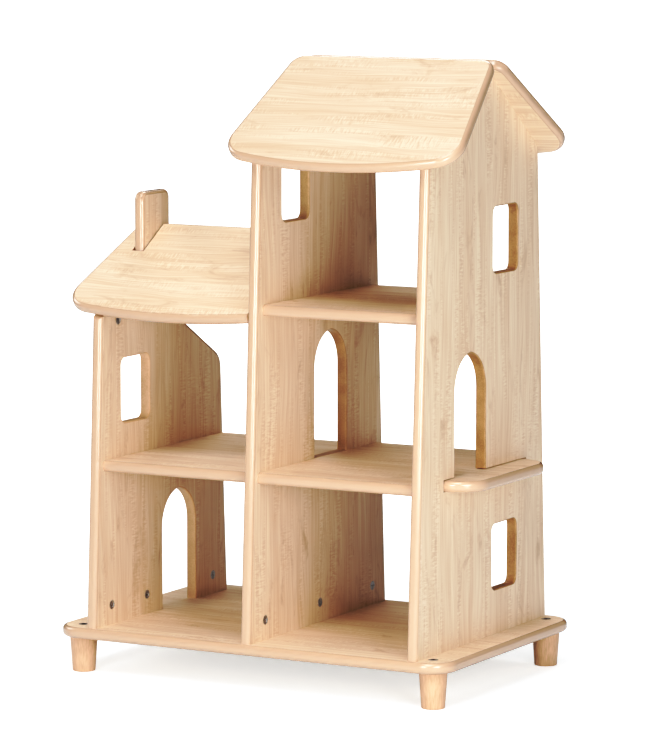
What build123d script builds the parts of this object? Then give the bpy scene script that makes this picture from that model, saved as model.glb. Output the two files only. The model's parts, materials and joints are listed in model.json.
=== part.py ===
from build123d import *
import math
import os

# A wooden dollhouse: a two-storey wing beside a three-storey tower, open at the front and the back,
# on a base board with four short legs. Sizes are millimetres. X runs along the front, Y from front
# to back and Z up. The origin is on the floor, under the middle of the base board.

# Boards
BOARD = 18.0                  # thickness of every board
EDGE_ROUND = 7.0              # rounding of the lipped outer edges
CLEARANCE = 0.1               # radial clearance of a bore around its fitting
SLOT_PLAY = 1.2               # play of a board in the slot that it passes through

# Base and legs
BASE_LENGTH = 712.0
BASE_DEPTH = 476.0
BASE_CORNER = 45.0            # corner radius seen from above
LEG_HEIGHT = 58.0
LEG_TOP_RADIUS = 22.5
LEG_FOOT_RADIUS = 18.5
LEG_FOOT_ROUND = 1.5
LEG_INSET = 37.0              # leg axis to the edge of the base
BASE_TOP = LEG_HEIGHT + BOARD

# Walls, each given by its left face
LEFT_WALL_X = -295.9
MIDDLE_WALL_X = -10.1
RIGHT_WALL_X = 286.8
WALL_FRONT = -232.0           # front edge where a wall meets the base
TOWER_BACK = 232.0
WING_BACK = 197.0
WALL_LEAN = 0.0495            # how far an upright edge leans in for each millimetre of height

# Roofs: the apex is where the undersides of the slopes would meet the middle plane
TOWER_PITCH = 36.3
TOWER_APEX = 987.3
WING_PITCH = 31.5
WING_APEX = 702.8
GABLE_ROUND = 20.0            # rounding of the gable's peak, under the ridge
TOWER_ROOF_CENTRE = 150.0
TOWER_ROOF_HALF_WIDTH = 178.0  # at the ridge
TOWER_ROOF_FLARE = 0.1375     # widening to each side for each millimetre down the slope
TOWER_ROOF_LENGTH = 273.5     # ridge to eave, at the middle of the eave
TOWER_EAVE_RADIUS = 780.0     # bow of the eave
WING_ROOF_LEFT = -322.0       # left edge at the ridge
WING_ROOF_FLARE = 0.17
WING_ROOF_LENGTH = 246.0
WING_EAVE_RADIUS = 900.0
WING_EAVE_CENTRE = -155.0
RIDGE_CORNER = 26.0
WING_RIDGE_CORNER = 34.0
EAVE_CORNER = 47.0
RIDGE_GAP = 0.3               # between the two tower slopes at the ridge
EAVE_MARGIN = 30.0            # extra length of a slope before its bowed eave is cut

# Chimney: the top of the left wall, which rises through the wing's roof
CHIMNEY_FRONT = -77.0
CHIMNEY_BACK = 10.0
CHIMNEY_TOP = 771.5
CHIMNEY_CORNER = 14.0
CHIMNEY_PLAY = 2.0            # play of the roof's notch around the chimney
CHIMNEY_FOOT_ROUND = 12.0     # where the chimney's back meets the wall's back slope
WING_BACK_TOP = 478.0         # height of the left wall's back corner, before it is rounded
WING_BACK_PITCH = 30.0        # of the slope from that corner up to the chimney
WING_BACK_ROUND = 34.0

# Shelves, by the height of their top face
LOWER_SHELF_TOP = 347.0
LOWER_SHELF_FRONT = -205.0
LOWER_SHELF_BACK = 201.0
WING_SHELF_BACK = 183.0
UPPER_SHELF_TOP = 612.0
UPPER_SHELF_FRONT = -187.5
UPPER_SHELF_BACK = 180.0
BALCONY_FRONT = -139.0
BALCONY_BACK = 146.0
BALCONY_SLOT_BACK = 152.0
BALCONY_DEPTH = 53.0          # how far the shelf stands out of the right wall
BALCONY_CORNER = 49.0

# Windows and doors
WINDOW_WIDTH = 88.0
WINDOW_HEIGHT = 106.0
WINDOW_CORNER = 12.5
DOOR_WIDTH = 107.0
DOOR_RISE = 60.0              # height of the pointed part
DOOR_ROUND = 3.0              # rounding of the outline's corners, left by the router bit
DOOR_FOOT = 10.0              # how far a door is routed below its floor before the sill closes it
OPENING_ROUND = 2.5           # rounding of the edges of the windows and doors
RIGHT_UPPER_WINDOW = (74.0, 657.0)    # centre along Y, height of the sill
RIGHT_LOWER_WINDOW = (74.0, 148.0)
RIGHT_DOOR = (-48.7, LOWER_SHELF_TOP, 192.0)    # centre along Y, height of the floor, its own height
MIDDLE_WINDOW = (-79.5, 738.5)
MIDDLE_DOOR = (37.0, LOWER_SHELF_TOP, 204.5)
LEFT_WINDOW = (-102.7, 401.0)
LEFT_DOOR = (34.6, BASE_TOP, 195.5)

# Fittings: a cam lies in the face of one board and draws in a bolt screwed into the next board
CAM_RADIUS = 7.5
CAM_THICKNESS = 12.5
CAM_INSET = 32.0              # cam axis to the end of its board
CAM_SLOT_WIDTH = 1.8
CAM_SLOT_DEPTH = 3.0
CAM_RIM = 1.2
CAM_RECESS = 0.8
CAM_MOUTH_PLAY = 0.3
BOLT_RADIUS = 3.5
BOLT_NECK_RADIUS = 2.2
BOLT_HEAD_LENGTH = 3.0
BOLT_SCREW_RADIUS = 2.6
BOLT_SCREW_LENGTH = 8.0
DOWEL_RADIUS = 4.0
DOWEL_LENGTH = 30.0
DOWEL_SHALLOW = 8.0           # how much of a dowel is in the face of the second board
DOWEL_CHAMFER = 0.8
LEG_BOLT_HEAD_RADIUS = 8.0
LEG_BOLT_HEAD_HEIGHT = 5.0
LEG_BOLT_RADIUS = 4.0
LEG_BOLT_LENGTH = 42.0        # under the head
LEG_BOLT_HEX = 6.0            # across the flats of its socket
LEG_BOLT_SOCKET = 3.5         # depth of the socket
LEG_BOLT_CHAMFER = 0.6
LEG_INSERT_RADIUS = 6.0
LEG_INSERT_LENGTH = 25.0

WALL_TO_BASE_CAMS = {
    "left_wall": (-180.0, -70.0, 145.0),
    "middle_wall": (-180.0, 1.0, 182.0),
    "right_wall": (-180.0, 1.0, 182.0),
}
WALL_TO_BASE_DOWELS = {
    "left_wall": (-125.0, 115.0),
    "middle_wall": (-90.0, 92.0),
    "right_wall": (-90.0, 92.0),
}
SHELF_CAMS = {
    "wing_shelf": (-115.0, 115.0),
    "tower_lower_shelf": (-174.0, 176.0),
    "tower_upper_shelf": (-120.0, 120.0),
}
SHELF_DOWELS = {
    "wing_shelf": (-80.0, 150.0),
    "tower_lower_shelf": (-190.0, 190.0),
    "tower_upper_shelf": (-85.0, 85.0),
}
TOWER_ROOF_CAMS = (-185.0, -70.0)     # along the slope, from the apex
TOWER_ROOF_DOWELS = (-155.0,)
WING_ROOF_CAMS = (-201.5,)
WING_ROOF_DOWELS = (-150.0,)
WING_RIDGE_CAMS = (-190.0, -60.0)     # under the wing's roof, at the middle wall


# ---------- outlines ----------

def round_corner(face, x, y, radius):
    """Round the corner of a flat outline that lies nearest to x, y."""
    corner = min(face.vertices(), key=lambda v: math.hypot(v.X - x, v.Y - y))
    return fillet(corner, radius)


def polygon(points):
    """Flat face through the points."""
    return Face(Wire.make_polygon([Vector(x, y, 0) for x, y in points], close=True))


def rounded_board(outline, skip=None):
    """Board from a flat outline, with its outer edges rounded except where skip is true."""
    board = extrude(outline, BOARD, dir=(0, 0, 1))
    edges = [
        edge for edge in board.edges()
        if abs(edge.center().Z - BOARD / 2) > BOARD / 2 - 0.01
        and not (skip and skip(edge.center()))
    ]
    return fillet(edges, EDGE_ROUND)


def upright(board, left_face):
    """Stand a flat board up as a wall: its X runs along Y and its Y runs up."""
    return Plane((left_face, 0, 0), x_dir=(0, 1, 0), z_dir=(1, 0, 0)) * board


def lean(edge, height):
    """Place along Y of an upright edge that starts at the base top and leans in."""
    return edge - math.copysign(WALL_LEAN * (height - BASE_TOP), edge)


def window(place):
    """Cutter for a rectangular window with rounded corners, in a wall's flat outline."""
    middle, sill = place
    shape = RectangleRounded(WINDOW_WIDTH, WINDOW_HEIGHT, WINDOW_CORNER)
    return extrude(Pos(middle, sill + WINDOW_HEIGHT / 2, -1) * shape, BOARD + 2)


def door(place):
    """Cutter for a doorway with a pointed arch, in a wall's flat outline. It reaches below the floor."""
    middle, floor, height = place
    half = DOOR_WIDTH / 2
    spring = floor + height - DOOR_RISE
    radius = (half ** 2 + DOOR_RISE ** 2) / (2 * half)
    shift = radius - half
    arch = Pos(middle - shift, spring) * Circle(radius)
    arch = arch & Pos(middle + shift, spring) * Circle(radius)
    top = arch & Pos(middle, spring + radius / 2) * Rectangle(DOOR_WIDTH + 2, radius)
    foot = floor - DOOR_FOOT
    jambs = Pos(middle, (foot + spring) / 2) * Rectangle(DOOR_WIDTH, spring - foot)
    outline = jambs + top
    for x, y in ((middle, floor + height), (middle - half, foot), (middle + half, foot)):
        outline = round_corner(outline, x, y, DOOR_ROUND)
    return extrude(Pos(0, 0, -1) * outline, BOARD + 2)


def door_sill(place):
    """Part of a wall that closes a doorway below its floor."""
    middle, floor, _ = place
    reach = 2 * OPENING_ROUND
    block = Box(DOOR_WIDTH + reach, DOOR_FOOT + reach, BOARD, align=(Align.CENTER, Align.MAX, Align.MIN))
    return Pos(middle, floor) * block


def cut_opening(board, cutter):
    """Cut an opening from a flat board and round its edges on both faces."""
    board = cut_all(board, [cutter])
    box = cutter.bounding_box()
    edges = []
    for edge in board.edges():
        point = edge.center()
        beside = box.min.X - 0.1 < point.X < box.max.X + 0.1 and box.min.Y - 0.1 < point.Y < box.max.Y + 0.1
        if beside and abs(point.Z - BOARD / 2) > BOARD / 2 - 0.01:
            edges.append(edge)
    return fillet(edges, OPENING_ROUND)


def cut_openings(board, windows, doors):
    """Cut all the windows and doors of a wall's flat outline."""
    for place in windows:
        board = cut_opening(board, window(place))
    for place in doors:
        board = cut_opening(board, door(place))
        if place[1] > BASE_TOP:
            board = board + door_sill(place)
    return board


# ---------- places of the fittings ----------

def slope_frame(apex, pitch, side):
    """Plane on the underside of a roof slope: its X along the house and its Y up the slope."""
    angle = math.radians(pitch)
    return Plane((0, 0, apex), x_dir=(-side, 0, 0), z_dir=(0, side * math.sin(angle), math.cos(angle)))


def joint_frame(point, into, face):
    """Plane at a joint: its Z runs into the board that holds the cam, its X out of the cam's face."""
    return Plane(point, x_dir=face, z_dir=into)


def base_joints():
    """Wall-to-base joints: for each wall a list of cam frames and a list of dowel frames."""
    joints = {}
    faces = {
        "left_wall": (LEFT_WALL_X, 1),
        "middle_wall": (MIDDLE_WALL_X, 1),
        "right_wall": (RIGHT_WALL_X, -1),
    }
    for wall, (left_face, side) in faces.items():
        middle = left_face + BOARD / 2
        frames = [
            [joint_frame((middle, y, BASE_TOP), (0, 0, 1), (side, 0, 0)) for y in places]
            for places in (WALL_TO_BASE_CAMS[wall], WALL_TO_BASE_DOWELS[wall])
        ]
        joints[wall] = frames
    return joints


def shelf_joints():
    """Shelf-to-wall joints: (shelf, wall) to cam frames and dowel frames."""
    wing = (("left_wall", LEFT_WALL_X + BOARD, 1), ("middle_wall", MIDDLE_WALL_X, -1))
    tower = (("middle_wall", MIDDLE_WALL_X + BOARD, 1), ("right_wall", RIGHT_WALL_X, -1))
    shelves = {
        "wing_shelf": (wing, LOWER_SHELF_TOP),
        "tower_lower_shelf": (tower, LOWER_SHELF_TOP),
        "tower_upper_shelf": (tower, UPPER_SHELF_TOP),
    }
    joints = {}
    for shelf, (ends, top) in shelves.items():
        for wall, x, way in ends:
            joints[shelf, wall] = [
                [joint_frame((x, y, top - BOARD / 2), (way, 0, 0), (0, 0, -1)) for y in places]
                for places in (SHELF_CAMS[shelf], SHELF_DOWELS[shelf])
            ]
    return joints


def roof_joints():
    """Roof-to-wall joints: (roof, wall) to cam frames and dowel frames, in the walls' sloped edges."""
    joints = {}
    walls = {"middle_wall": (MIDDLE_WALL_X, 1), "right_wall": (RIGHT_WALL_X, -1)}
    for roof, side in (("tower_roof_front", -1), ("tower_roof_back", 1)):
        for wall, (left_face, face) in walls.items():
            joints[roof, wall] = sloped_frames(
                TOWER_APEX, TOWER_PITCH, side, left_face, face, TOWER_ROOF_CAMS, TOWER_ROOF_DOWELS)
    joints["wing_roof", "left_wall"] = sloped_frames(
        WING_APEX, WING_PITCH, -1, LEFT_WALL_X, 1, WING_ROOF_CAMS, WING_ROOF_DOWELS)
    return joints


def sloped_frames(apex, pitch, side, left_face, face, cams, dowels):
    """Frames on a wall's sloped edge, at the given distances along the slope from the apex."""
    slope = slope_frame(apex, pitch, side)
    middle = left_face + BOARD / 2
    into = slope.z_dir * -1
    lists = []
    for places in (cams, dowels):
        points = [slope.origin + slope.y_dir * s + Vector(middle, 0, 0) for s in places]
        lists.append([joint_frame(point, into, (face, 0, 0)) for point in points])
    return lists


def ridge_joints():
    """Cams in the underside of the wing's roof, with their bolts in the middle wall."""
    slope = slope_frame(WING_APEX, WING_PITCH, -1)
    half_board = slope.z_dir * (BOARD / 2)
    end = slope.origin + half_board + Vector(MIDDLE_WALL_X, 0, 0)
    points = [end + slope.y_dir * s for s in WING_RIDGE_CAMS]
    return [joint_frame(point, (-1, 0, 0), slope.z_dir * -1) for point in points]


# ---------- fittings and their bores ----------

def cam_pocket(frame):
    """Cutter in the board that holds the cam: the cam's pocket and the bolt's bore."""
    radius = CAM_RADIUS + CLEARANCE
    pocket = Cylinder(radius, CAM_THICKNESS, align=(Align.CENTER, Align.CENTER, Align.MAX))
    pocket = Pos(BOARD / 2, 0, CAM_INSET) * Rot(0, 90, 0) * pocket
    bore = Cylinder(BOLT_RADIUS + CLEARANCE, CAM_INSET, align=(Align.CENTER, Align.CENTER, Align.MIN))
    return frame * (pocket + bore)


def screw_hole(frame):
    """Cutter in the board that takes the bolt's screw."""
    hole = Cylinder(BOLT_SCREW_RADIUS + CLEARANCE, BOLT_SCREW_LENGTH + 0.5,
                    align=(Align.CENTER, Align.CENTER, Align.MAX))
    return frame * hole


def dowel_hole(frame):
    """Cutter in both boards for a dowel."""
    hole = Cylinder(DOWEL_RADIUS + CLEARANCE, DOWEL_LENGTH + 1,
                    align=(Align.CENTER, Align.CENTER, Align.MIN))
    return frame * Pos(0, 0, -DOWEL_SHALLOW - 0.5) * hole


def cam(frame):
    """Cam disc: a rim, a cross slot for the screwdriver and a mouth that the bolt's head enters."""
    disc = Cylinder(CAM_RADIUS, CAM_THICKNESS, align=(Align.CENTER, Align.CENTER, Align.MAX))
    recess = Cylinder(CAM_RADIUS - CAM_RIM, CAM_RECESS, align=(Align.CENTER, Align.CENTER, Align.MAX))
    slot_size = 2 * (CAM_RADIUS - 2 * CAM_RIM)
    slot = Box(slot_size, CAM_SLOT_WIDTH, CAM_SLOT_DEPTH, align=(Align.CENTER, Align.CENTER, Align.MAX))
    mouth_size = 2 * (BOLT_RADIUS + CAM_MOUTH_PLAY)
    mouth = Pos(CAM_RADIUS, 0, -BOARD / 2) * Box(2 * CAM_RADIUS - 1, mouth_size, mouth_size)
    body = disc - recess - slot - Rot(0, 0, 90) * slot - mouth
    return frame * Pos(BOARD / 2, 0, CAM_INSET) * Rot(0, 90, 0) * body


def cam_bolt(frame):
    """Bolt with a screw in one board, a shank, and a necked head that the cam grips."""
    reach = CAM_INSET - 1.0
    low = (Align.CENTER, Align.CENTER, Align.MIN)
    screw = Pos(0, 0, -BOLT_SCREW_LENGTH) * Cylinder(BOLT_SCREW_RADIUS, BOLT_SCREW_LENGTH, align=low)
    shank = Cylinder(BOLT_RADIUS, reach - 2 * BOLT_HEAD_LENGTH, align=low)
    neck = Cylinder(BOLT_NECK_RADIUS, BOLT_HEAD_LENGTH, align=low)
    neck = Pos(0, 0, reach - 2 * BOLT_HEAD_LENGTH) * neck
    head = Pos(0, 0, reach - BOLT_HEAD_LENGTH) * Cylinder(BOLT_RADIUS, BOLT_HEAD_LENGTH, align=low)
    return frame * (screw + shank + neck + head)


def dowel(frame):
    """Beech dowel with chamfered ends."""
    peg = Cylinder(DOWEL_RADIUS, DOWEL_LENGTH, align=(Align.CENTER, Align.CENTER, Align.MIN))
    peg = chamfer(peg.edges().filter_by(GeomType.CIRCLE), DOWEL_CHAMFER)
    return frame * Pos(0, 0, -DOWEL_SHALLOW) * peg


# ---------- boards ----------

def cut_all(board, cutters):
    """Cut every cutter from a board and return it as one solid."""
    for cutter in cutters:
        board = board - cutter
    return board.solids()[0]


def fitting_cuts(name):
    """All the bores that the joints need in one board."""
    cutters = []
    for wall, (cams, dowels) in base_joints().items():
        if name == wall:
            cutters += [cam_pocket(f) for f in cams]
        if name == "base_board":
            cutters += [screw_hole(f) for f in cams]
        if name in (wall, "base_board"):
            cutters += [dowel_hole(f) for f in dowels]
    for (holder, taker), (cams, dowels) in shelf_joints().items():
        if name == holder:
            cutters += [cam_pocket(f) for f in cams]
        if name == taker:
            cutters += [screw_hole(f) for f in cams]
        if name in (holder, taker):
            cutters += [dowel_hole(f) for f in dowels]
    for (taker, holder), (cams, dowels) in roof_joints().items():
        if name == holder:
            cutters += [cam_pocket(f) for f in cams]
        if name == taker:
            cutters += [screw_hole(f) for f in cams]
        if name in (holder, taker):
            cutters += [dowel_hole(f) for f in dowels]
    if name == "wing_roof":
        cutters += [cam_pocket(f) for f in ridge_joints()]
    if name == "middle_wall":
        cutters += [screw_hole(f) for f in ridge_joints()]
    return cutters


def leg_places():
    """Leg name to its place on the floor."""
    x = BASE_LENGTH / 2 - LEG_INSET
    y = BASE_DEPTH / 2 - LEG_INSET
    return {
        "leg_front_left": (-x, -y),
        "leg_front_right": (x, -y),
        "leg_back_left": (-x, y),
        "leg_back_right": (x, y),
    }


def base_board():
    outline = RectangleRounded(BASE_LENGTH, BASE_DEPTH, BASE_CORNER)
    board = Pos(0, 0, LEG_HEIGHT) * rounded_board(outline)
    low = (Align.CENTER, Align.CENTER, Align.MIN)
    cutters = fitting_cuts("base_board")
    for x, y in leg_places().values():
        sink = Cylinder(LEG_BOLT_HEAD_RADIUS + CLEARANCE, LEG_BOLT_HEAD_HEIGHT + 1, align=low)
        cutters.append(Pos(x, y, BASE_TOP - LEG_BOLT_HEAD_HEIGHT) * sink)
        bore = Cylinder(LEG_BOLT_RADIUS + CLEARANCE, BOARD + 2, align=low)
        cutters.append(Pos(x, y, LEG_HEIGHT - 1) * bore)
    return cut_all(board, cutters)


def leg(x, y):
    """Tapered round leg with a bore for the insert that the leg bolt screws into."""
    low = (Align.CENTER, Align.CENTER, Align.MIN)
    body = Cone(LEG_FOOT_RADIUS, LEG_TOP_RADIUS, LEG_HEIGHT, align=low)
    body = fillet(body.edges().sort_by(Axis.Z)[0], LEG_FOOT_ROUND)
    insert_bore = Cylinder(LEG_INSERT_RADIUS + CLEARANCE, LEG_INSERT_LENGTH, align=low)
    bolt_bore = Cylinder(LEG_BOLT_RADIUS + CLEARANCE, LEG_BOLT_LENGTH, align=low)
    body = body - Pos(0, 0, LEG_HEIGHT - LEG_INSERT_LENGTH) * insert_bore
    bolt_end = BASE_TOP - LEG_BOLT_HEAD_HEIGHT - LEG_BOLT_LENGTH
    body = body - Pos(0, 0, bolt_end - 1) * bolt_bore
    return Pos(x, y, 0) * body


def leg_bolt(x, y):
    """Socket bolt whose head is flush with the base top."""
    high = (Align.CENTER, Align.CENTER, Align.MAX)
    head = Cylinder(LEG_BOLT_HEAD_RADIUS, LEG_BOLT_HEAD_HEIGHT, align=high)
    head = chamfer(head.edges().filter_by(GeomType.CIRCLE).sort_by(Axis.Z)[-1], LEG_BOLT_CHAMFER)
    socket = extrude(RegularPolygon(LEG_BOLT_HEX / 2, 6, major_radius=False), -LEG_BOLT_SOCKET)
    shank = Pos(0, 0, -LEG_BOLT_HEAD_HEIGHT) * Cylinder(LEG_BOLT_RADIUS, LEG_BOLT_LENGTH, align=high)
    return Pos(x, y, BASE_TOP) * (head + shank - socket)


def leg_insert(x, y):
    """Threaded insert in the top of a leg."""
    high = (Align.CENTER, Align.CENTER, Align.MAX)
    sleeve = Cylinder(LEG_INSERT_RADIUS, LEG_INSERT_LENGTH, align=high)
    bore = Cylinder(LEG_BOLT_RADIUS + CLEARANCE, LEG_INSERT_LENGTH, align=high)
    return Pos(x, y, LEG_HEIGHT) * (sleeve - bore)


def tower_eave():
    """Height where the leaning edges of a tower wall meet the roof."""
    fall = math.tan(math.radians(TOWER_PITCH))
    return (TOWER_APEX - fall * (TOWER_BACK + WALL_LEAN * BASE_TOP)) / (1 - fall * WALL_LEAN)


def tower_profile():
    """Outline of a tower wall: leaning edges and a gable with a rounded peak."""
    eave = tower_eave()
    points = [
        (WALL_FRONT, BASE_TOP),
        (TOWER_BACK, BASE_TOP),
        (lean(TOWER_BACK, eave), eave),
        (0, TOWER_APEX),
        (lean(WALL_FRONT, eave), eave),
    ]
    return round_corner(polygon(points), 0, TOWER_APEX, GABLE_ROUND)


def tower_wall_square(point):
    """True on the edges of a tower wall that stay square: on the base and under the roof."""
    return point.Y < BASE_TOP + 0.01 or point.Y > tower_eave() + 0.01


def middle_wall():
    board = rounded_board(tower_profile(), tower_wall_square)
    board = cut_openings(board, [MIDDLE_WINDOW], [MIDDLE_DOOR])
    return cut_all(upright(board, MIDDLE_WALL_X), fitting_cuts("middle_wall"))


def balcony_slot():
    """Cutter for the slot that the tower's lower shelf passes through, in the wall's flat outline."""
    width = BALCONY_SLOT_BACK - BALCONY_FRONT + SLOT_PLAY
    height = BOARD + SLOT_PLAY
    low_y = LOWER_SHELF_TOP - BOARD
    place = Pos(BALCONY_FRONT - SLOT_PLAY, low_y, -1)
    return place * Box(width, height, BOARD + 2, align=(Align.MIN, Align.MIN, Align.MIN))


def right_wall():
    board = rounded_board(tower_profile(), tower_wall_square)
    board = cut_openings(board, [RIGHT_UPPER_WINDOW, RIGHT_LOWER_WINDOW], [RIGHT_DOOR])
    board = cut_all(board, [balcony_slot()])
    return cut_all(upright(board, RIGHT_WALL_X), fitting_cuts("right_wall"))


def left_wall_square(point):
    """True on the edges of the left wall that stay square: on the base and under the roof."""
    under_roof = WING_APEX + math.tan(math.radians(WING_PITCH)) * point.X
    return point.Y < BASE_TOP + 0.01 or abs(point.Y - under_roof) < 0.1


def left_wall():
    """Wing wall: a front slope under the roof, the chimney, and a lower slope at the back."""
    fall = math.tan(math.radians(WING_PITCH))
    front_top = (WING_APEX + fall * (WALL_FRONT - WALL_LEAN * BASE_TOP)) / (1 - fall * WALL_LEAN)
    back_edge = lean(WING_BACK, WING_BACK_TOP)
    neck = WING_BACK_TOP + math.tan(math.radians(WING_BACK_PITCH)) * (back_edge - CHIMNEY_BACK)
    points = [
        (WALL_FRONT, BASE_TOP),
        (WING_BACK, BASE_TOP),
        (back_edge, WING_BACK_TOP),
        (CHIMNEY_BACK, neck),
        (CHIMNEY_BACK, CHIMNEY_TOP),
        (CHIMNEY_FRONT, CHIMNEY_TOP),
        (CHIMNEY_FRONT, WING_APEX + fall * CHIMNEY_FRONT),
        (lean(WALL_FRONT, front_top), front_top),
    ]
    outline = polygon(points)
    outline = round_corner(outline, *points[2], WING_BACK_ROUND)
    outline = round_corner(outline, *points[3], CHIMNEY_FOOT_ROUND)
    outline = round_corner(outline, *points[4], CHIMNEY_CORNER)
    outline = round_corner(outline, *points[5], CHIMNEY_CORNER)
    board = rounded_board(outline, left_wall_square)
    board = cut_openings(board, [LEFT_WINDOW], [LEFT_DOOR])
    return cut_all(upright(board, LEFT_WALL_X), fitting_cuts("left_wall"))


def shelf_board(left, right, front, back, top):
    """Shelf between two walls, with its front and back edges rounded."""
    outline = polygon([(left, front), (right, front), (right, back), (left, back)])
    board = rounded_board(outline, lambda point: point.X < left + 0.01 or point.X > right - 0.01)
    return Pos(0, 0, top - BOARD) * board


def wing_shelf():
    board = shelf_board(
        LEFT_WALL_X + BOARD, MIDDLE_WALL_X, LOWER_SHELF_FRONT, WING_SHELF_BACK, LOWER_SHELF_TOP)
    return cut_all(board, fitting_cuts("wing_shelf"))


def tower_lower_shelf():
    """Shelf whose tongue passes through the right wall and ends outside as a balcony."""
    left = MIDDLE_WALL_X + BOARD
    tip = RIGHT_WALL_X + BOARD + BALCONY_DEPTH
    board = shelf_board(left, RIGHT_WALL_X, LOWER_SHELF_FRONT, LOWER_SHELF_BACK, LOWER_SHELF_TOP)
    root = RIGHT_WALL_X - 2 * BALCONY_DEPTH
    front, back = BALCONY_FRONT, BALCONY_BACK
    tongue = polygon([(root, front), (tip, front), (tip, back), (root, back)])
    tongue = round_corner(tongue, tip, BALCONY_FRONT, BALCONY_CORNER)
    tongue = round_corner(tongue, tip, BALCONY_BACK, BALCONY_CORNER)
    tongue = rounded_board(tongue, lambda point: point.X < root + 0.01)
    tongue = Pos(0, 0, LOWER_SHELF_TOP - BOARD) * tongue
    return cut_all(board + tongue, fitting_cuts("tower_lower_shelf"))


def tower_upper_shelf():
    board = shelf_board(
        MIDDLE_WALL_X + BOARD, RIGHT_WALL_X, UPPER_SHELF_FRONT, UPPER_SHELF_BACK, UPPER_SHELF_TOP)
    return cut_all(board, fitting_cuts("tower_upper_shelf"))


# ---------- roofs ----------

def ridge_reach(pitch):
    """How far a slope's end passes the apex, so that its rounded end touches the middle plane."""
    angle = math.radians(pitch)
    return (EDGE_ROUND - EDGE_ROUND * math.sin(angle) - RIDGE_GAP / 2) / math.cos(angle) - EDGE_ROUND


def tower_roof_outline():
    """Flat outline of a tower slope: flared sides and a bowed eave. Y is up the slope."""
    end = ridge_reach(TOWER_PITCH)
    down = TOWER_ROOF_LENGTH + EAVE_MARGIN
    half_low = TOWER_ROOF_HALF_WIDTH + TOWER_ROOF_FLARE * down
    sides = polygon([
        (-TOWER_ROOF_HALF_WIDTH, end),
        (TOWER_ROOF_HALF_WIDTH, end),
        (half_low, -down),
        (-half_low, -down),
    ])
    bow = Pos(0, TOWER_EAVE_RADIUS - TOWER_ROOF_LENGTH) * Circle(TOWER_EAVE_RADIUS)
    outline = (Sketch() + sides) & bow
    corners = outline.vertices().sort_by(Axis.Y)
    outline = fillet(corners[:2], EAVE_CORNER)
    corners = outline.vertices().sort_by(Axis.Y)
    return fillet(corners[-2:], RIDGE_CORNER)


def tower_roof(name, side):
    board = rounded_board(tower_roof_outline())
    board = slope_frame(TOWER_APEX, TOWER_PITCH, side) * board
    board = Pos(TOWER_ROOF_CENTRE, 0, 0) * board
    return cut_all(board, fitting_cuts(name))


def wing_roof():
    """The wing's single slope, notched around the chimney and cut square at the tower."""
    right = MIDDLE_WALL_X
    down = WING_ROOF_LENGTH + EAVE_MARGIN
    sides = polygon([
        (WING_ROOF_LEFT, 0),
        (right, 0),
        (right, -down),
        (WING_ROOF_LEFT - WING_ROOF_FLARE * down, -down),
    ])
    bow = Pos(WING_EAVE_CENTRE, WING_EAVE_RADIUS - WING_ROOF_LENGTH) * Circle(WING_EAVE_RADIUS)
    outline = (Sketch() + sides) & bow
    outline = fillet(outline.vertices().sort_by(Axis.X)[0], EAVE_CORNER)
    outline = round_corner(outline, WING_ROOF_LEFT, 0, WING_RIDGE_CORNER)
    board = rounded_board(outline, lambda point: point.X > right - 0.01)
    board = slope_frame(WING_APEX, WING_PITCH, -1) * board
    return cut_all(board, [chimney_notch()] + fitting_cuts("wing_roof"))


def chimney_notch():
    """Upright cutter around the chimney, open at the roof's upper edge."""
    width = BOARD + 2 * CHIMNEY_PLAY
    reach = CHIMNEY_BACK - CHIMNEY_FRONT + BOARD
    cutter = Box(width, reach, 2 * reach, align=(Align.CENTER, Align.MIN, Align.CENTER))
    return Pos(LEFT_WALL_X + BOARD / 2, CHIMNEY_FRONT - CHIMNEY_PLAY, WING_APEX) * cutter


# ---------- writing ----------

def write(name, shapes):
    """Write one node; a group of identical fasteners is a compound of separate solids."""
    solids = [solid for shape in shapes for solid in shape.solids()]
    shape = solids[0] if len(solids) == 1 else Compound(children=solids)
    shape.label = name
    export_step(shape, os.path.join("parts", name + ".step"))


def main():
    os.makedirs("parts", exist_ok=True)
    write("base_board", [base_board()])
    for name, (x, y) in leg_places().items():
        write(name, [leg(x, y)])
    write("leg_bolts", [leg_bolt(x, y) for x, y in leg_places().values()])
    write("leg_inserts", [leg_insert(x, y) for x, y in leg_places().values()])
    write("left_wall", [left_wall()])
    write("middle_wall", [middle_wall()])
    write("right_wall", [right_wall()])
    write("wing_shelf", [wing_shelf()])
    write("tower_lower_shelf", [tower_lower_shelf()])
    write("tower_upper_shelf", [tower_upper_shelf()])
    write("tower_roof_front", [tower_roof("tower_roof_front", -1)])
    write("tower_roof_back", [tower_roof("tower_roof_back", 1)])
    write("wing_roof", [wing_roof()])
    groups = {"base": base_joints(), "shelf": shelf_joints(), "roof": roof_joints()}
    for group, joints in groups.items():
        cams = [frame for frames in joints.values() for frame in frames[0]]
        dowels = [frame for frames in joints.values() for frame in frames[1]]
        if group == "roof":
            cams += ridge_joints()
        write(group + "_cams", [cam(frame) for frame in cams])
        write(group + "_cam_bolts", [cam_bolt(frame) for frame in cams])
        write(group + "_dowels", [dowel(frame) for frame in dowels])


main()
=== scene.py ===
"""Looks of the wooden dollhouse: maple-decor boards with peach edge lipping, beech legs and metal fittings.

Lengths are metres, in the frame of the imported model: X along the front, Y from front to back, Z up.
Angles are degrees. An azimuth is measured from the front towards the right, an elevation from the floor up.
"""
import json
import math

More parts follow.
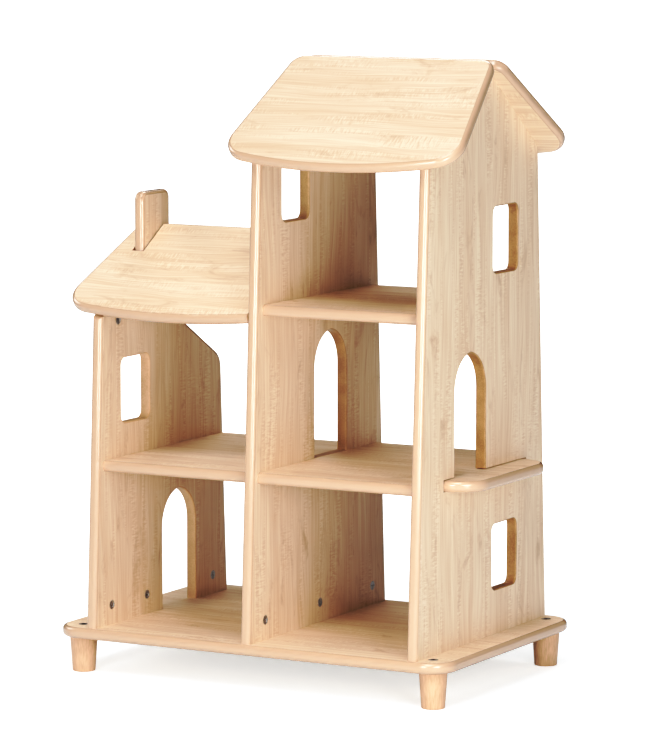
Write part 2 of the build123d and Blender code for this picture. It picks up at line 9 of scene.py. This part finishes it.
import bpy
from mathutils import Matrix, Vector


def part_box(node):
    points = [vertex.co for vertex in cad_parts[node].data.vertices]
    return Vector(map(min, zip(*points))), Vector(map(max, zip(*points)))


# Camera: the point that it aims at, and its place around that point
AIM = Vector((-0.0105, 0.0475, 0.4720))
CAMERA_AZIMUTH = 28.72
CAMERA_ELEVATION = 7.10
CAMERA_DISTANCE = 6.887
CAMERA_LENS = 202.2           # millimetres
CAMERA_SENSOR = 36.0          # width in millimetres
CAMERA_NEAR = 0.1
CAMERA_FAR = 100.0

# Broad distant key light
SUN_AZIMUTH = 12.0
SUN_ELEVATION = 55.0
SUN_STRENGTH = 1.17
SUN_ANGLE = 26.0
SUN_DISTANCE = 4.0            # of its lamp, which makes no difference to the light
# Softboxes: azimuth, elevation, distance, width, height and watts. The small ones, front and right, draw the
# bright lines along the upright edges.
SOFTBOXES = {
    "top": (0.0, 80.0, 3.5, 1.6, 1.6, 26.0),
    "front": (4.0, 5.0, 3.0, 0.7, 0.9, 27.0),
    "right": (50.0, 2.0, 2.2, 0.7, 0.7, 16.5),
    "far_right": (64.0, 26.0, 3.5, 1.6, 1.6, 18.0),
    "left": (-80.0, 25.0, 3.5, 1.6, 1.6, 27.0),
    "back": (205.0, 50.0, 3.5, 1.6, 1.6, 34.0),
}

# White surroundings, whose glow only the camera sees. The ground's glow grows away from the house.
WHITE = (1.0, 1.0, 1.0, 1.0)
WORLD_GLOW = 1.1
GROUND_REACH = 60.0           # half the side of the studio floor
GROUND_COLOUR = (0.84, 0.89, 0.93, 1.0)
GROUND_ROUGHNESS = 0.9
GROUND_GLOW_RADII = (0.6, 2.2)
GROUND_GLOWS = (0.52, 1.2)    # at those radii

# Tone curves, as pairs of a rendered and a shown value: one for all colours, and one each for red, green and
# blue, which warm the shade
TONE = ((0.045, 0.017), (0.13, 0.062), (0.26, 0.23), (0.445, 0.45), (0.69, 0.76), (0.91, 0.97))
SHADE_RED = ((0.29, 0.279), (0.60, 0.60))
SHADE_GREEN = ((0.165, 0.156), (0.45, 0.45))
SHADE_BLUE = ((0.078, 0.072), (0.30, 0.298))

# Colours, linear
MAPLE_LIGHT = (0.90, 0.74, 0.57)
MAPLE_MID = (0.75, 0.55, 0.38)
MAPLE_DARK = (0.62, 0.42, 0.27)
LIPPING = (0.65, 0.45, 0.31)
GLUE_LINE = (0.60, 0.41, 0.28)
BEECH_LIGHT = (0.78, 0.51, 0.335)
BEECH_DARK = (0.62, 0.39, 0.24)
STEEL = (0.36, 0.37, 0.39)
ZINC = (0.62, 0.61, 0.60)
BRASS = (0.72, 0.52, 0.26)
# Cut edges in the windows and doors of each wall: light and dark chips
JAMBS = {
    "left_wall": ((0.76, 0.52, 0.33), (0.66, 0.43, 0.26)),
    "middle_wall": ((0.61, 0.41, 0.235), (0.49, 0.31, 0.17)),
    "right_wall": ((0.52, 0.315, 0.165), (0.39, 0.225, 0.105)),
}

# Maple decor: strips side by side, each with its own tone and its own stretch of the grain
STAVES_PER_METRE = 24.0
STAVE_CONTRAST = 0.25
STAVE_SHIFT = 3.0             # the furthest that a stave's grain is moved along
BOARD_SHIFTS = (1.37, 2.11)   # from one board's decor to the next, across and along the grain
BEND_WIDTH = 0.06             # how far the bends can push the grain aside
# Patterns of the decor: features to the metre across and along the grain, and noise settings
PATTERNS = {
    "bends": (9.0, 2.2, {}),
    "growth": (32.0, 1.6, {"detail": 1.0}),
    "lines": (120.0, 3.0, {"detail": 3.0, "roughness": 0.65}),
    "fibres": (360.0, 7.0, {"detail": 2.0}),
    "flecks": (70.0, 330.0, {"detail": 2.0, "distortion": 0.4}),
    "patches": (34.0, 5.0, {}),
    "clouds": (24.0, 8.0, {"detail": 5.0, "roughness": 0.65, "distortion": 1.2}),
}
GRAIN_STRENGTHS = {"growth": 1.0, "lines": 1.7, "fibres": 1.9}
FLECK_STRENGTH = 3.2
PATCH_LEVELS = (0.47, 0.66)   # the flecks show where the patches rise through these
CLOUD_LEVELS = (0.54, 0.76)
CLOUD_STRENGTH = 0.85

# Where a board's edge begins and where its lipping does, by the cosine of the angle between the surface and
# the broad faces. The glue line shows in between.
EDGE_LEVELS = (0.975, 0.992)
LIPPING_LEVELS = (0.93, 0.97)
WALL_ROUGHNESS = 0.44         # satin lacquer on the broad faces of walls and roofs
SHELF_ROUGHNESS = 0.62        # duller on the base and shelves
LIPPING_ROUGHNESS = 0.24
JAMB_ROUGHNESS = 0.40
COAT_ROUGHNESS = 0.16
COAT_IOR = 1.5
JAMB_MARGIN = 0.024           # how far a jamb reaches outside the box that fits in its opening

# Jambs, beech and metal: noise settings, and the noise levels of the two colours
CHIPS = {"scale": 420.0, "detail": 4.0, "roughness": 0.7}
CHIP_CLOUDS = {"scale": 40.0, "detail": 2.0}
CHIP_CLOUD_STRENGTH = 0.8
CHIP_LEVELS = (0.3, 0.75)
# The pores are stretched up the legs
PORE_STRETCH = (600.0, 600.0, 50.0)
PORES = {"detail": 3.0, "roughness": 0.6}
BEECH_CLOUDS = {"scale": 35.0, "detail": 2.0}
BEECH_CLOUD_STRENGTH = 0.5
BEECH_LEVELS = (0.3, 0.75)
BEECH_ROUGHNESS = 0.36
METAL_MARKS = {"scale": 900.0, "detail": 3.0}
METAL_LEVELS = (0.3, 0.7)
METAL_MARK_STRENGTH = 0.35
METAL_MARK_SHADE = 0.5        # share of the metal's colour
METAL_MARK_ROUGHNESS = 0.2    # most that they add
# Metals, by the ending of the piece's name: name, colour and least roughness
METALS = {
    "_cams": ("zinc_cam", ZINC, 0.35),
    "bolts": ("steel_bolt", STEEL, 0.28),
    "inserts": ("brass_insert", BRASS, 0.35),
}

UPRIGHT = ("left_wall", "middle_wall", "right_wall")
LYING = ("base_board", "wing_shelf", "tower_lower_shelf", "tower_upper_shelf")
ROOFS = ("tower_roof_front", "tower_roof_back", "wing_roof")
LEGS = ("leg_front_left", "leg_front_right", "leg_back_left", "leg_back_right")
UP = Vector((0, 0, 1))
SIDEWAYS = Vector((1, 0, 0))
NOISE_MIDDLE = 0.5


# ---------- node helpers ----------

def put(tree, value, socket):
    """Link an output to a socket, or set a constant on it."""
    if isinstance(value, bpy.types.NodeSocket):
        tree.links.new(value, socket)
    else:
        socket.default_value = value


class Nodes:
    """Short calls for making the nodes of one material."""

    def __init__(self, name):
        self.material = bpy.data.materials.new(name)
        self.material.use_nodes = True
        self.tree = self.material.node_tree
        self.tree.nodes.clear()
        self.shader = self.tree.nodes.new("ShaderNodeBsdfPrincipled")
        output = self.tree.nodes.new("ShaderNodeOutputMaterial")
        self.tree.links.new(self.shader.outputs["BSDF"], output.inputs["Surface"])

    def put_all(self, values, sockets):
        for value, socket in zip(values, sockets):
            put(self.tree, value, socket)

    def math(self, operation, *values, clamp=False):
        node = self.tree.nodes.new("ShaderNodeMath")
        node.operation = operation
        node.use_clamp = clamp
        self.put_all(values, node.inputs)
        return node.outputs[0]

    def clamp(self, value):
        return self.math("ADD", value, 0.0, clamp=True)

    def vector_math(self, operation, *values):
        node = self.tree.nodes.new("ShaderNodeVectorMath")
        node.operation = operation
        self.put_all(values, node.inputs)
        return node.outputs["Value" if operation in ("DOT_PRODUCT", "LENGTH") else "Vector"]

    def combine(self, x, y, z):
        node = self.tree.nodes.new("ShaderNodeCombineXYZ")
        self.put_all((x, y, z), node.inputs)
        return node.outputs[0]

    def split(self, vector):
        node = self.tree.nodes.new("ShaderNodeSeparateXYZ")
        put(self.tree, vector, node.inputs["Vector"])
        return node.outputs

    def place(self):
        """Position in the house's frame: every CAD object sits at the origin."""
        return self.tree.nodes.new("ShaderNodeTexCoord").outputs["Object"]

    def normal(self):
        return self.tree.nodes.new("ShaderNodeNewGeometry").outputs["Normal"]

    def noise(self, vector, scale=1.0, detail=2.0, roughness=0.5, distortion=0.0):
        node = self.tree.nodes.new("ShaderNodeTexNoise")
        put(self.tree, vector, node.inputs["Vector"])
        node.inputs["Scale"].default_value = scale
        node.inputs["Detail"].default_value = detail
        node.inputs["Roughness"].default_value = roughness
        node.inputs["Distortion"].default_value = distortion
        return node.outputs["Fac"]

    def cells(self, value, scale):
        """Random colour of each cell along a line."""
        node = self.tree.nodes.new("ShaderNodeTexVoronoi")
        node.voronoi_dimensions = "1D"
        put(self.tree, value, node.inputs["W"])
        node.inputs["Scale"].default_value = scale
        return node.outputs["Color"]

    def spread(self, value, low, high, to_low=0.0, to_high=1.0):
        """Map low..high smoothly to to_low..to_high."""
        node = self.tree.nodes.new("ShaderNodeMapRange")
        node.interpolation_type = "SMOOTHSTEP"
        put(self.tree, value, node.inputs["Value"])
        node.inputs["From Min"].default_value = low
        node.inputs["From Max"].default_value = high
        node.inputs["To Min"].default_value = to_low
        node.inputs["To Max"].default_value = to_high
        return node.outputs["Result"]

    def mix(self, factor, a, b):
        """Mix two colours, each an output or three numbers."""
        node = self.tree.nodes.new("ShaderNodeMix")
        node.data_type = "RGBA"
        put(self.tree, factor, node.inputs["Factor"])
        for colour, socket in ((a, node.inputs["A"]), (b, node.inputs["B"])):
            put(self.tree, colour if isinstance(colour, bpy.types.NodeSocket) else (*colour, 1.0), socket)
        return node.outputs["Result"]

    def vary(self, value, noise, amount):
        """Add a noise to a value, up and down from the noise's middle."""
        return self.math("MULTIPLY_ADD", self.math("SUBTRACT", noise, NOISE_MIDDLE), amount, value)

    def set(self, **values):
        """Set or link inputs of the shader, with underscores for the spaces in their names."""
        for name, value in values.items():
            put(self.tree, value, self.shader.inputs[name.replace("_", " ")])


# ---------- boards ----------

def thickness_axis(node):
    """Normal of a board's broad faces: the direction that most of its area faces, either way."""
    areas = {}
    for polygon in node.data.polygons:
        key = tuple(round(abs(c), 2) for c in polygon.normal)
        total, _ = areas.get(key, (0.0, None))
        areas[key] = (total + polygon.area, polygon.normal.copy())
    return max(areas.values(), key=lambda entry: entry[0])[1].normalized()


def wood_space(nodes, grain, thickness, seed):
    """Position across the grain and along it, shifted for each board."""
    place = nodes.place()
    axes = (thickness.cross(grain), grain)
    positions = [nodes.vector_math("DOT_PRODUCT", place, tuple(axis)) for axis in axes]
    return [nodes.math("ADD", position, seed * shift) for position, shift in zip(positions, BOARD_SHIFTS)]


def pattern(nodes, name, across, along):
    """One pattern of the decor: noise stretched along the grain, each in a layer of its own."""
    per_across, per_along, settings = PATTERNS[name]
    stretched = nodes.combine(
        nodes.math("MULTIPLY", across, per_across),
        nodes.math("MULTIPLY", along, per_along),
        list(PATTERNS).index(name))
    return nodes.noise(stretched, **settings)


def maple_colour(nodes, across, along):
    """Maple decor: staves side by side, growth lines, fibres, cross flecks and a few darker clouds."""
    stave_along, stave_tone, _ = nodes.split(nodes.cells(across, STAVES_PER_METRE))
    own = nodes.math("ADD", along, nodes.math("MULTIPLY", stave_along, STAVE_SHIFT))
    bent = nodes.math("MULTIPLY_ADD", pattern(nodes, "bends", across, along), BEND_WIDTH, across)
    tone = nodes.vary(NOISE_MIDDLE, stave_tone, STAVE_CONTRAST)
    for name, strength in GRAIN_STRENGTHS.items():
        tone = nodes.vary(tone, pattern(nodes, name, bent, own), strength)
    flecks = nodes.math("SUBTRACT", pattern(nodes, "flecks", across, own), NOISE_MIDDLE)
    patches = nodes.spread(pattern(nodes, "patches", across, own), *PATCH_LEVELS)
    tone = nodes.math("MULTIPLY_ADD", nodes.math("MULTIPLY", flecks, patches), FLECK_STRENGTH, tone)
    clouds = nodes.spread(pattern(nodes, "clouds", bent, own), *CLOUD_LEVELS, 0.0, CLOUD_STRENGTH)
    return nodes.mix(clouds, nodes.mix(nodes.clamp(tone), MAPLE_LIGHT, MAPLE_MID), MAPLE_DARK)


def opening_boxes(record, node):
    """Centre and half size of each window and doorway of the wall called node, from the record's openings.

    The rooms are openings too, but not in a wall.
    """
    low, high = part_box(node)
    margin = Vector((0.0, JAMB_MARGIN, JAMB_MARGIN))
    boxes = []
    for opening in record["physics"]["openings"]:
        a, b = (Vector(corner) for corner in opening["box_m"])
        if a.x < low.x and b.x > high.x and "room" not in opening["name"]:
            boxes.append(((a + b) / 2, (b - a) / 2 + margin))
    return boxes


def in_boxes(nodes, boxes):
    """1 inside the outline that any of the boxes has from the side, 0 outside."""
    found = 0.0
    for centre, half in boxes:
        offset = nodes.vector_math("ABSOLUTE", nodes.vector_math("SUBTRACT", nodes.place(), tuple(centre)))
        _, off_y, off_z = nodes.split(offset)
        within_y = nodes.math("LESS_THAN", off_y, half.y)
        within_z = nodes.math("LESS_THAN", off_z, half.z)
        found = nodes.math("MAXIMUM", found, nodes.math("MULTIPLY", within_y, within_z))
    return found


def jamb_colour(nodes, light, dark):
    """Raw cut edge of the board: pressed chips under clear lacquer."""
    chips = nodes.noise(nodes.place(), **CHIPS)
    clouds = nodes.noise(nodes.place(), **CHIP_CLOUDS)
    tone = nodes.vary(chips, clouds, CHIP_CLOUD_STRENGTH)
    return nodes.mix(nodes.spread(tone, *CHIP_LEVELS), light, dark)


def board_material(name, node, grain, seed, face_roughness, openings=(), jamb=None):
    """Maple on the broad faces, glossy lipping round the edges, and chips in the openings."""
    nodes = Nodes(name + "_maple")
    thickness = thickness_axis(node)
    across, along = wood_space(nodes, grain, thickness, seed)
    face_on = nodes.math("ABSOLUTE", nodes.vector_math("DOT_PRODUCT", nodes.normal(), tuple(thickness)))
    edge = nodes.spread(face_on, *EDGE_LEVELS, 1.0, 0.0)
    lipped = nodes.spread(face_on, *LIPPING_LEVELS, 1.0, 0.0)
    colour = nodes.mix(edge, maple_colour(nodes, across, along), nodes.mix(lipped, GLUE_LINE, LIPPING))
    roughness = nodes.math("MULTIPLY_ADD", edge, LIPPING_ROUGHNESS - face_roughness, face_roughness)
    coat = edge
    if openings:
        cut = nodes.math("MULTIPLY", in_boxes(nodes, openings), edge)
        colour = nodes.mix(cut, colour, jamb_colour(nodes, *jamb))
        roughness = nodes.math("MULTIPLY_ADD", cut, JAMB_ROUGHNESS - LIPPING_ROUGHNESS, roughness)
        coat = nodes.math("SUBTRACT", edge, cut)
    nodes.set(Base_Color=colour, Roughness=roughness)
    nodes.set(Coat_Weight=coat, Coat_Roughness=COAT_ROUGHNESS, Coat_IOR=COAT_IOR)
    return nodes.material


# ---------- other materials ----------

def beech_material():
    nodes = Nodes("beech_turned")
    pores = nodes.noise(nodes.vector_math("MULTIPLY", nodes.place(), PORE_STRETCH), **PORES)
    clouds = nodes.noise(nodes.place(), **BEECH_CLOUDS)
    tone = nodes.vary(pores, clouds, BEECH_CLOUD_STRENGTH)
    colour = nodes.mix(nodes.spread(tone, *BEECH_LEVELS), BEECH_LIGHT, BEECH_DARK)
    nodes.set(Base_Color=colour, Roughness=BEECH_ROUGHNESS)
    return nodes.material


def metal_material(name, colour, least_roughness):
    nodes = Nodes(name)
    marks = nodes.noise(nodes.place(), **METAL_MARKS)
    shown = nodes.spread(marks, *METAL_LEVELS, 0.0, METAL_MARK_STRENGTH)
    marked = tuple(METAL_MARK_SHADE * c for c in colour)
    roughness = nodes.math("MULTIPLY_ADD", marks, METAL_MARK_ROUGHNESS, least_roughness)
    nodes.set(Base_Color=nodes.mix(shown, colour, marked), Metallic=1.0, Roughness=roughness)
    return nodes.material


def dress(node, material):
    """Give a CAD node one material, in its own slot."""
    node.material_slots[0].material = material


def dress_boards(found, record):
    """The grain runs up the walls, and sideways along the base, shelves and roofs."""
    for seed, name in enumerate(UPRIGHT):
        openings = opening_boxes(record, name)
        dress(found[name], board_material(name, found[name], UP, seed, WALL_ROUGHNESS, openings, JAMBS[name]))
    for seed, name in enumerate(LYING + ROOFS, start=len(UPRIGHT)):
        roughness = SHELF_ROUGHNESS if name in LYING else WALL_ROUGHNESS
        dress(found[name], board_material(name, found[name], SIDEWAYS, seed, roughness))


def dress_fittings(found):
    """Beech for the legs and dowels, and a metal for each kind of fitting."""
    beech = beech_material()
    for name, node in found.items():
        if name in LEGS or name.endswith("dowels"):
            dress(node, beech)
    for ending, (title, colour, least_roughness) in METALS.items():
        metal = metal_material(title, colour, least_roughness)
        for name, node in found.items():
            if name.endswith(ending):
                dress(node, metal)


# ---------- studio ----------

def direction(azimuth, elevation):
    """Unit vector towards an azimuth and elevation."""
    a = math.radians(azimuth)
    e = math.radians(elevation)
    return Vector((math.sin(a) * math.cos(e), -math.cos(a) * math.cos(e), math.sin(e)))


def aim_at_house(thing, azimuth, elevation, distance):
    """Put a camera or lamp at its place around the point of aim, turned to that point."""
    bpy.context.scene.collection.objects.link(thing)
    away = direction(azimuth, elevation)
    thing.location = AIM + away * distance
    thing.rotation_mode = "QUATERNION"
    thing.rotation_quaternion = (-away).to_track_quat("-Z", "Y")


def make_camera():
    data = bpy.data.cameras.new("camera")
    data.lens = CAMERA_LENS
    data.sensor_width = CAMERA_SENSOR
    data.clip_start = CAMERA_NEAR
    data.clip_end = CAMERA_FAR
    camera = bpy.data.objects.new("camera", data)
    aim_at_house(camera, CAMERA_AZIMUTH, CAMERA_ELEVATION, CAMERA_DISTANCE)
    bpy.context.scene.camera = camera


def camera_only(tree, strength):
    """A strength that counts only where the camera looks straight at it, so that the glow lights nothing."""
    path = tree.nodes.new("ShaderNodeLightPath")
    level = tree.nodes.new("ShaderNodeMath")
    level.operation = "MULTIPLY"
    put(tree, path.outputs["Is Camera Ray"], level.inputs[0])
    put(tree, strength, level.inputs[1])
    return level.outputs[0]


def make_floor():
    """White floor, overexposed except where the house shades it."""
    mesh = bpy.data.meshes.new("floor")
    corners = [(x * GROUND_REACH, y * GROUND_REACH, 0) for x, y in ((-1, -1), (1, -1), (1, 1), (-1, 1))]
    mesh.from_pydata(corners, [], [(0, 1, 2, 3)])
    floor = bpy.data.objects.new("floor", mesh)
    bpy.context.scene.collection.objects.link(floor)
    nodes = Nodes("floor_white")
    radius = nodes.vector_math("LENGTH", nodes.place())
    glow = nodes.spread(radius, *GROUND_GLOW_RADII, *GROUND_GLOWS)
    nodes.set(Base_Color=GROUND_COLOUR, Roughness=GROUND_ROUGHNESS)
    nodes.set(Emission_Color=WHITE, Emission_Strength=camera_only(nodes.tree, glow))
    mesh.materials.append(nodes.material)


def place_lamp(name, data, azimuth, elevation, distance):
    lamp = bpy.data.objects.new(name, data)
    aim_at_house(lamp, azimuth, elevation, distance)
    lamp.visible_camera = False


def make_sun():
    data = bpy.data.lights.new("sun", "SUN")
    data.energy = SUN_STRENGTH
    data.angle = math.radians(SUN_ANGLE)
    place_lamp("sun", data, SUN_AZIMUTH, SUN_ELEVATION, SUN_DISTANCE)


def make_softbox(name, azimuth, elevation, distance, width, height, watts):
    data = bpy.data.lights.new(name, "AREA")
    data.shape = "RECTANGLE"
    data.size = width
    data.size_y = height
    data.energy = watts
    place_lamp(name, data, azimuth, elevation, distance)


def make_lights():
    make_sun()
    for name, values in SOFTBOXES.items():
        make_softbox(name, *values)


def make_world():
    """White world, which the camera sees and which lights nothing."""
    world = bpy.data.worlds.new("studio")
    bpy.context.scene.world = world
    world.use_nodes = True
    background = world.node_tree.nodes["Background"]
    background.inputs["Color"].default_value = WHITE
    put(world.node_tree, camera_only(world.node_tree, WORLD_GLOW), background.inputs["Strength"])


def set_tone():
    """Print-like contrast: darker, warmer shade and fuller lights than a plain display curve gives."""
    view = bpy.context.scene.view_settings
    view.view_transform = "Standard"
    view.use_curve_mapping = True
    for curve, points in zip(view.curve_mapping.curves, (SHADE_RED, SHADE_GREEN, SHADE_BLUE, TONE)):
        for seen, shown in points:
            curve.points.new(seen, shown)
    view.curve_mapping.update()


with open("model.json") as file:
    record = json.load(file)
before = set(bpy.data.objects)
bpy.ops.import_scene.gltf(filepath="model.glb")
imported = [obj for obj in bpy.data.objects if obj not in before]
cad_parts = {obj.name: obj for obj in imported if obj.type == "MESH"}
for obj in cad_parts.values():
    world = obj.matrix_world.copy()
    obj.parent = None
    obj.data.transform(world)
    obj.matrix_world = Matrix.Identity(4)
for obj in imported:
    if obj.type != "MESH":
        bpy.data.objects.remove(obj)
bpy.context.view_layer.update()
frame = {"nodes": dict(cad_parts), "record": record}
make_camera()
make_floor()
make_lights()
make_world()
set_tone()
dress_boards(frame["nodes"], frame["record"])
dress_fittings(frame["nodes"])
